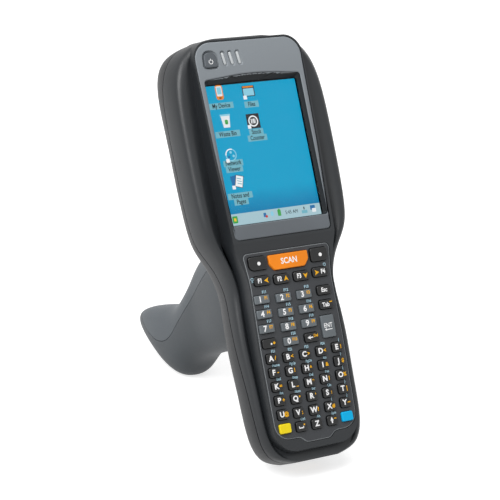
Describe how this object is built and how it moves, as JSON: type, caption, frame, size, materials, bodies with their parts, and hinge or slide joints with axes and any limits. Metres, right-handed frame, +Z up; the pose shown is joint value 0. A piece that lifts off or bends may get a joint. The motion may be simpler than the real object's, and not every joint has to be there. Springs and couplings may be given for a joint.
{
  "type": "portable barcode terminal",
  "caption": "Handheld barcode data terminal with a touch screen, a keypad and a pistol grip with a trigger, standing on its tail and its grip.",
  "frame": {"origin": "on the table, under the middle of the bounding box", "axes": "+Z up; +X to the right as the screen is read; the screen faces -Y and up"},
  "size_m": [0.0898, 0.1818, 0.1998],
  "materials": {
    "housing_front": "fine grain",
    "housing_rear": "fine grain",
    "bezel": "satin",
    "touch_glass": "clear",
    "display": "gloss",
    "tray": "satin",
    "panel": "satin",
    "domes": "satin",
    "circuit_board": "satin",
    "light_pipe": "gloss",
    "contacts": "bright",
    "latch": "satin",
    "spring_steel": "bright",
    "connector": "satin",
    "engine": "satin",
    "window": "gloss",
    "speaker": "satin",
    "screw": "bright",
    "grip_front": "fine grain",
    "grip_rear": "fine grain",
    "trigger": "satin",
    "key_black": "satin",
    "key_grey": "satin",
    "key_orange": "gloss",
    "key_yellow": "gloss",
    "key_blue": "gloss"
  },
  "bodies": {
    "terminal": {"front_housing": "housing_front", "rear_housing": "housing_rear", "battery_pack": "housing_rear", "display_bezel": "bezel", "touch_panel": "touch_glass", "display_module": "display", "display_frame": "tray", "processor_shield": "tray", "keypad_panel": "panel", "dome_sheet": "domes", "keypad_board": "circuit_board", "main_board": "circuit_board", "indicator_board": "circuit_board", "led_light_pipes": "light_pipe", "battery_contacts": "contacts", "latch_spring": "spring_steel", "trigger_spring": "spring_steel", "dock_connector": "connector", "trigger_switch": "connector", "scan_engine": "engine", "scan_window": "window", "speaker": "speaker", "housing_screws": "screw", "grip_screws": "screw", "trigger_pin": "screw", "grip_front_shell": "grip_front", "grip_rear_shell": "grip_rear"},
    "soft_key_left_body": {"soft_key_left": "key_black"},
    "scan_key_body": {"scan_key": "key_orange"},
    "soft_key_right_body": {"soft_key_right": "key_black"},
    "function_key_1_body": {"function_key_1": "key_black"},
    "function_key_2_body": {"function_key_2": "key_black"},
    "function_key_3_body": {"function_key_3": "key_black"},
    "function_key_4_body": {"function_key_4": "key_black"},
    "number_key_0_body": {"number_key_0": "key_grey"},
    "number_key_1_body": {"number_key_1": "key_grey"},
    "number_key_2_body": {"number_key_2": "key_grey"},
    "number_key_3_body": {"number_key_3": "key_grey"},
    "number_key_4_body": {"number_key_4": "key_grey"},
    "number_key_5_body": {"number_key_5": "key_grey"},
    "number_key_6_body": {"number_key_6": "key_grey"},
    "number_key_7_body": {"number_key_7": "key_grey"},
    "number_key_8_body": {"number_key_8": "key_grey"},
    "number_key_9_body": {"number_key_9": "key_grey"},
    "point_key_body": {"point_key": "key_black"},
    "backspace_key_body": {"backspace_key": "key_black"},
    "escape_key_body": {"escape_key": "key_black"},
    "tab_key_body": {"tab_key": "key_black"},
    "enter_key_body": {"enter_key": "key_grey"},
    "letter_keys_row_1_body": {"letter_keys_row_1": "key_black"},
    "letter_keys_row_2_body": {"letter_keys_row_2": "key_black"},
    "letter_keys_row_3_body": {"letter_keys_row_3": "key_black"},
    "letter_keys_row_4_body": {"letter_keys_row_4": "key_black"},
    "letter_keys_row_5_body": {"letter_keys_row_5": "key_black"},
    "letter_keys_row_6_body": {"letter_keys_row_6": "key_black"},
    "yellow_key_body": {"yellow_key": "key_yellow"},
    "blue_key_body": {"blue_key": "key_blue"},
    "power_key_body": {"power_key": "key_black"},
    "battery_latch_body": {"battery_latch": "latch"},
    "trigger_body": {"trigger": "trigger"}
  },
  "joints": [
    {"name": "trigger_pull", "type": "hinge", "parent": "terminal", "child": "trigger_body", "pos_m": [0, 0.00046, 0.09352], "axis": [-1, 0, 0], "range_deg": [0, 8], "stiffness_Nm_per_rad": 0.5, "deforming": ["trigger_spring"]},
    {"name": "battery_latch_slide", "type": "slide", "parent": "terminal", "child": "battery_latch_body", "axis": [0, 0.527, 0.8499], "range_m": [0, 0.0035], "stiffness_N_per_m": 800, "deforming": ["latch_spring"]},
    {"name": "power_key_press", "type": "slide", "parent": "terminal", "child": "power_key_body", "axis": [0, 0.8499, -0.527], "range_m": [0, 0.0006], "stiffness_N_per_m": 600},
    {"name": "soft_key_left_press", "type": "slide", "parent": "terminal", "child": "soft_key_left_body", "axis": [0, 0.8732, -0.4873], "range_m": [0, 0.0008], "stiffness_N_per_m": 500},
    {"name": "scan_key_press", "type": "slide", "parent": "terminal", "child": "scan_key_body", "axis": [0, 0.8732, -0.4873], "range_m": [0, 0.0008], "stiffness_N_per_m": 500},
    {"name": "soft_key_right_press", "type": "slide", "parent": "terminal", "child": "soft_key_right_body", "axis": [0, 0.8732, -0.4873], "range_m": [0, 0.0008], "stiffness_N_per_m": 500},
    {"name": "function_key_1_press", "type": "slide", "parent": "terminal", "child": "function_key_1_body", "axis": [0, 0.8732, -0.4873], "range_m": [0, 0.0008], "stiffness_N_per_m": 500},
    {"name": "function_key_2_press", "type": "slide", "parent": "terminal", "child": "function_key_2_body", "axis": [0, 0.8732, -0.4873], "range_m": [0, 0.0008], "stiffness_N_per_m": 500},
    {"name": "function_key_3_press", "type": "slide", "parent": "terminal", "child": "function_key_3_body", "axis": [0, 0.8732, -0.4873], "range_m": [0, 0.0008], "stiffness_N_per_m": 500},
    {"name": "function_key_4_press", "type": "slide", "parent": "terminal", "child": "function_key_4_body", "axis": [0, 0.8732, -0.4873], "range_m": [0, 0.0008], "stiffness_N_per_m": 500},
    {"name": "number_key_0_press", "type": "slide", "parent": "terminal", "child": "number_key_0_body", "axis": [0, 0.8732, -0.4873], "range_m": [0, 0.0008], "stiffness_N_per_m": 500},
    {"name": "number_key_1_press", "type": "slide", "parent": "terminal", "child": "number_key_1_body", "axis": [0, 0.8732, -0.4873], "range_m": [0, 0.0008], "stiffness_N_per_m": 500},
    {"name": "number_key_2_press", "type": "slide", "parent": "terminal", "child": "number_key_2_body", "axis": [0, 0.8732, -0.4873], "range_m": [0, 0.0008], "stiffness_N_per_m": 500},
    {"name": "number_key_3_press", "type": "slide", "parent": "terminal", "child": "number_key_3_body", "axis": [0, 0.8732, -0.4873], "range_m": [0, 0.0008], "stiffness_N_per_m": 500},
    {"name": "number_key_4_press", "type": "slide", "parent": "terminal", "child": "number_key_4_body", "axis": [0, 0.8732, -0.4873], "range_m": [0, 0.0008], "stiffness_N_per_m": 500},
    {"name": "number_key_5_press", "type": "slide", "parent": "terminal", "child": "number_key_5_body", "axis": [0, 0.8732, -0.4873], "range_m": [0, 0.0008], "stiffness_N_per_m": 500},
    {"name": "number_key_6_press", "type": "slide", "parent": "terminal", "child": "number_key_6_body", "axis": [0, 0.8732, -0.4873], "range_m": [0, 0.0008], "stiffness_N_per_m": 500},
    {"name": "number_key_7_press", "type": "slide", "parent": "terminal", "child": "number_key_7_body", "axis": [0, 0.8732, -0.4873], "range_m": [0, 0.0008], "stiffness_N_per_m": 500},
    {"name": "number_key_8_press", "type": "slide", "parent": "terminal", "child": "number_key_8_body", "axis": [0, 0.8732, -0.4873], "range_m": [0, 0.0008], "stiffness_N_per_m": 500},
    {"name": "number_key_9_press", "type": "slide", "parent": "terminal", "child": "number_key_9_body", "axis": [0, 0.8732, -0.4873], "range_m": [0, 0.0008], "stiffness_N_per_m": 500},
    {"name": "point_key_press", "type": "slide", "parent": "terminal", "child": "point_key_body", "axis": [0, 0.8732, -0.4873], "range_m": [0, 0.0008], "stiffness_N_per_m": 500},
    {"name": "backspace_key_press", "type": "slide", "parent": "terminal", "child": "backspace_key_body", "axis": [0, 0.8732, -0.4873], "range_m": [0, 0.0008], "stiffness_N_per_m": 500},
    {"name": "escape_key_press", "type": "slide", "parent": "terminal", "child": "escape_key_body", "axis": [0, 0.8732, -0.4873], "range_m": [0, 0.0008], "stiffness_N_per_m": 500},
    {"name": "tab_key_press", "type": "slide", "parent": "terminal", "child": "tab_key_body", "axis": [0, 0.8732, -0.4873], "range_m": [0, 0.0008], "stiffness_N_per_m": 500},
    {"name": "enter_key_press", "type": "slide", "parent": "terminal", "child": "enter_key_body", "axis": [0, 0.8732, -0.4873], "range_m": [0, 0.0008], "stiffness_N_per_m": 500},
    {"name": "letter_keys_row_1_press", "type": "slide", "parent": "terminal", "child": "letter_keys_row_1_body", "axis": [0, 0.8732, -0.4873], "range_m": [0, 0.0008], "stiffness_N_per_m": 900},
    {"name": "letter_keys_row_2_press", "type": "slide", "parent": "terminal", "child": "letter_keys_row_2_body", "axis": [0, 0.8732, -0.4873], "range_m": [0, 0.0008], "stiffness_N_per_m": 900},
    {"name": "letter_keys_row_3_press", "type": "slide", "parent": "terminal", "child": "letter_keys_row_3_body", "axis": [0, 0.8732, -0.4873], "range_m": [0, 0.0008], "stiffness_N_per_m": 900},
    {"name": "letter_keys_row_4_press", "type": "slide", "parent": "terminal", "child": "letter_keys_row_4_body", "axis": [0, 0.8732, -0.4873], "range_m": [0, 0.0008], "stiffness_N_per_m": 900},
    {"name": "letter_keys_row_5_press", "type": "slide", "parent": "terminal", "child": "letter_keys_row_5_body", "axis": [0, 0.8732, -0.4873], "range_m": [0, 0.0008], "stiffness_N_per_m": 900},
    {"name": "letter_keys_row_6_press", "type": "slide", "parent": "terminal", "child": "letter_keys_row_6_body", "axis": [0, 0.8732, -0.4873], "range_m": [0, 0.0008], "stiffness_N_per_m": 900},
    {"name": "yellow_key_press", "type": "slide", "parent": "terminal", "child": "yellow_key_body", "axis": [0, 0.8732, -0.4873], "range_m": [0, 0.0008], "stiffness_N_per_m": 900},
    {"name": "blue_key_press", "type": "slide", "parent": "terminal", "child": "blue_key_body", "axis": [0, 0.8732, -0.4873], "range_m": [0, 0.0008], "stiffness_N_per_m": 900}
  ]
}
